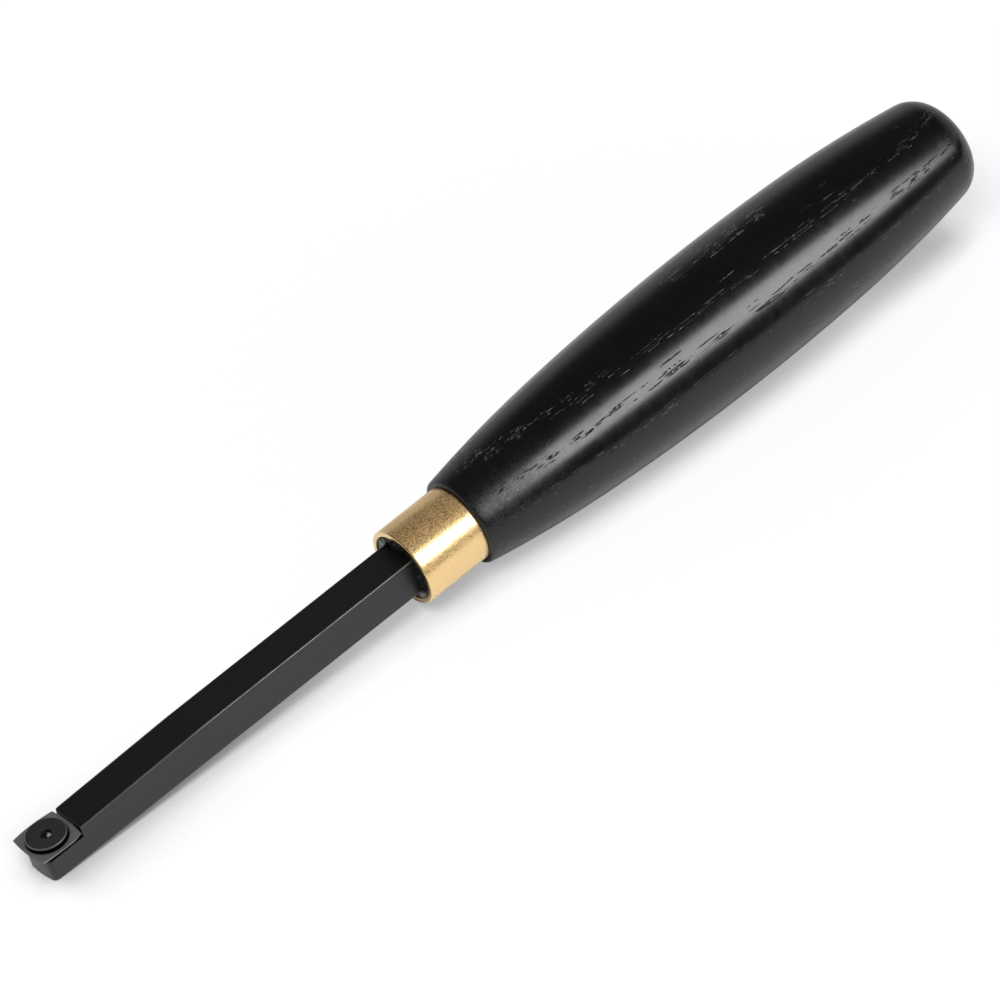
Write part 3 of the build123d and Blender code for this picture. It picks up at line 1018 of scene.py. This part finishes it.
def floor_material(studio):
    """White floor that keeps the tool's shadow, adds a painted shadow near it and runs out into plain white
    further off.
    """
    nodes = plain_surface("Floor white", grey(studio.floor_white))
    rays = nodes.add("LightPath").outputs
    place = nodes.add("TexCoord").outputs["Object"]
    x, y, _ = nodes.parts(place)

    # Places along X: the nose, the end of its own shading, the middle, and the raised butt
    tip, past_tip, middle, butt, butt_end = -0.126, -0.045, 0.0, 0.09, 0.118
    reach_out = nodes.plus(
        nodes.ramp(x, -0.06, middle, studio.bar_shade, studio.handle_shade),
        nodes.ramp(x, butt, 0.12, 0.0, studio.butt_shade - studio.handle_shade),
    )
    near = nodes.add("AmbientOcclusion", {"Distance": reach_out}, samples=4).outputs["AO"]

    # The painted shadow is kept an even band: nose and butt shade less than the middle of the tool
    def towards_ends(operation, at_tip, inside, at_butt):
        near_tip = nodes.line(x, tip, middle, at_tip, inside)
        return nodes.maths(operation, near_tip, nodes.line(x, butt, butt_end, inside, at_butt))

    least = towards_ends("MINIMUM", 0.1, 0.58, 0.1)
    beside_tip = nodes.line(x, tip, past_tip, 1.0, 0.0)
    low = nodes.times_plus(beside_tip, 0.04, towards_ends("MAXIMUM", 0.62, 0.33, 0.48))
    high = nodes.times_plus(beside_tip, 0.08, nodes.line(x, tip, middle, 0.78, 0.66))
    beside = nodes.line(near, low, high, least, 1.0)
    ahead = nodes.line(near, 0.5, 0.84, 0.52, 1.0)
    in_front = nodes.ramp(x, tip + 0.006, tip - 0.001)
    painted_shadow = nodes.times_plus(in_front, nodes.minus(ahead, beside), beside)
    far_off = nodes.ramp(nodes.distance(place, (0, 0, 0)), 0.05, 0.8, 0.03, 0.6)
    # The camera sees the floor glow white, darkened near the tool by the painted shadow
    glow = nodes.times_plus(painted_shadow, studio.floor_glow, far_off)
    nodes.give({"Emission Color": grey(1), "Emission Strength": nodes.times(glow, rays["Is Camera Ray"])})

    # Painted shade: reflections find the floor darker behind the tool
    behind = nodes.ramp(y, 0.0, 0.03, 0.0, studio.floor_fall)
    shade = nodes.minus(1.0, nodes.times(behind, rays["Is Glossy Ray"]))
    shade = nodes.minus(shade, nodes.times(rays["Is Camera Ray"], studio.floor_glow))
    nodes.give({"Base Color": nodes.mix(shade, grey(0), grey(studio.floor_white))})
    return nodes.material


def stage_plate(name, material, width, depth, matrix):
    bm = bmesh.new()
    bmesh.ops.create_grid(bm, x_segments=1, y_segments=1, size=0.5)
    bmesh.ops.scale(bm, vec=(width, depth, 1), verts=bm.verts)
    bmesh.ops.transform(bm, matrix=matrix, verts=bm.verts)
    plate = as_object(bm, name, material)
    return plate


def only_mirrored(plate):
    """Lets a card show in reflections and nowhere else."""
    for ray in ("camera", "diffuse", "transmission", "volume_scatter", "shadow"):
        setattr(plate, "visible_" + ray, False)


class SCRAPER_OT_stage(bpy.types.Operator):
    """Sets up the floor, the lamps and the camera"""

    bl_idname = "scraper.stage"
    bl_label = "Studio"

    def execute(self, context):
        scene = context.scene
        studio = scene.scraper_studio
        stage_plate("studio_floor", floor_material(studio), 9.0, 9.0, Matrix.Identity(4))

        # Tall panel in front, on the right: it spans these angles from its own direction, and these heights
        # as shares of its distance
        far = 2.0
        direction = radians(-110)
        first, last = tan(radians(20)), tan(radians(62))
        low, high = 0.335, 1.41
        facing = Vector((cos(direction), sin(direction), 0))
        right_of = Vector((0, 0, 1)).cross(facing)
        middle = facing * far + right_of * far * (first + last) / 2 + Vector((0, 0, far * (low + high) / 2))
        width, height = far * (last - first), far * (high - low)
        panel_lamp("main_panel", studio.main_light, width, height, middle, -facing).visible_diffuse = False

        # Soft lamp a little above the camera, so that the shadow lies close under the tool
        above = Vector((-0.389, -0.367, 0.846)).normalized()
        side = 1.07
        panel_lamp("floor_lamp", studio.floor_light, side, side, above * far, -above).visible_glossy = False

        # White behind everything that the camera sees. Reflections find it near the horizon, under a dark
        # ceiling, and dull surfaces get an even light
        world = bpy.data.worlds.new("Studio")
        world.use_nodes = True
        scene.world = world
        nodes = Nodes(world.node_tree)
        background = world.node_tree.nodes["Background"]
        rays = nodes.add("LightPath").outputs
        upwards = nodes.parts(nodes.add("TexCoord").outputs["Generated"])["Z"]
        ceiling, horizon = sin(radians(40)), sin(radians(14))
        ring = nodes.ramp(upwards, ceiling, horizon, 0.0, studio.wall_light)
        mirrored = nodes.times(nodes.plus(ring, studio.room_light), rays["Is Glossy Ray"])
        even = nodes.times(rays["Is Diffuse Ray"], studio.even_light)
        seen = nodes.maths("MAXIMUM", rays["Is Camera Ray"], rays["Is Transmission Ray"])
        nodes.put(background.inputs["Color"], grey(1))
        strength = nodes.maths("MAXIMUM", seen, nodes.plus(mirrored, even))
        nodes.put(background.inputs["Strength"], strength)

        # A low black card in front on the right gives the dark line between the panel and the floor
        card_width, card_height = 1.0, 0.045
        card_place = (0.1, -0.088, card_height / 2)
        upright = Matrix.Translation(card_place) @ Matrix.Rotation(pi / 2, 4, "X")
        black = plain_surface("Black card", grey(0.01)).material
        only_mirrored(stage_plate("black_card", black, card_width, card_height, upright))

        lens = bpy.data.cameras.new("Camera")
        lens.lens = studio.focal_length
        lens.sensor_width = 36
        lens.clip_start, lens.clip_end = 0.01, 100
        camera = bpy.data.objects.new("Camera", lens)
        azimuth, elevation = studio.view_azimuth, studio.view_elevation
        level = cos(elevation)
        back = Vector((level * cos(azimuth), level * sin(azimuth), sin(elevation)))
        aim = Vector((-0.001797, -0.000953, 0.011392))
        turn = back.to_track_quat("Z", "Y") @ Quaternion((0, 0, 1), studio.view_roll)
        stand = Matrix.Translation(aim + back * studio.view_distance)
        camera.matrix_world = stand @ turn.to_matrix().to_4x4()
        scene.collection.objects.link(camera)
        scene.camera = camera
        scene.view_settings.view_transform = "Standard"
        return {"FINISHED"}


OPERATORS = (
    SCRAPER_OT_bar, SCRAPER_OT_cutter, SCRAPER_OT_screw, SCRAPER_OT_ferrule, SCRAPER_OT_handle,
    SCRAPER_OT_stage,
)


class SCRAPER_PT_panel(bpy.types.Panel):
    """Lists the pieces of the scraper"""

    bl_idname = "SCRAPER_PT_panel"
    bl_label = "Turning scraper"
    bl_space_type = "VIEW_3D"
    bl_region_type = "UI"
    bl_category = "Scraper"

    def draw(self, context):
        column = self.layout.column()
        for operator in OPERATORS:
            column.operator(operator.bl_idname)


CLASSES = (ScraperSizes, ScraperFinishes, ScraperStudio, *OPERATORS, SCRAPER_PT_panel)


def register():
    for each in CLASSES:
        bpy.utils.register_class(each)
    bpy.types.Scene.scraper_sizes = bpy.props.PointerProperty(type=ScraperSizes)
    bpy.types.Scene.scraper_finishes = bpy.props.PointerProperty(type=ScraperFinishes)
    bpy.types.Scene.scraper_studio = bpy.props.PointerProperty(type=ScraperStudio)


def unregister():
    del bpy.types.Scene.scraper_sizes, bpy.types.Scene.scraper_finishes, bpy.types.Scene.scraper_studio
    for each in reversed(CLASSES):
        bpy.utils.unregister_class(each)


def main():
    register()
    for operator in OPERATORS:
        family, action = operator.bl_idname.split(".")
        getattr(getattr(bpy.ops, family), action)()


if __name__ == "__main__":
    main()
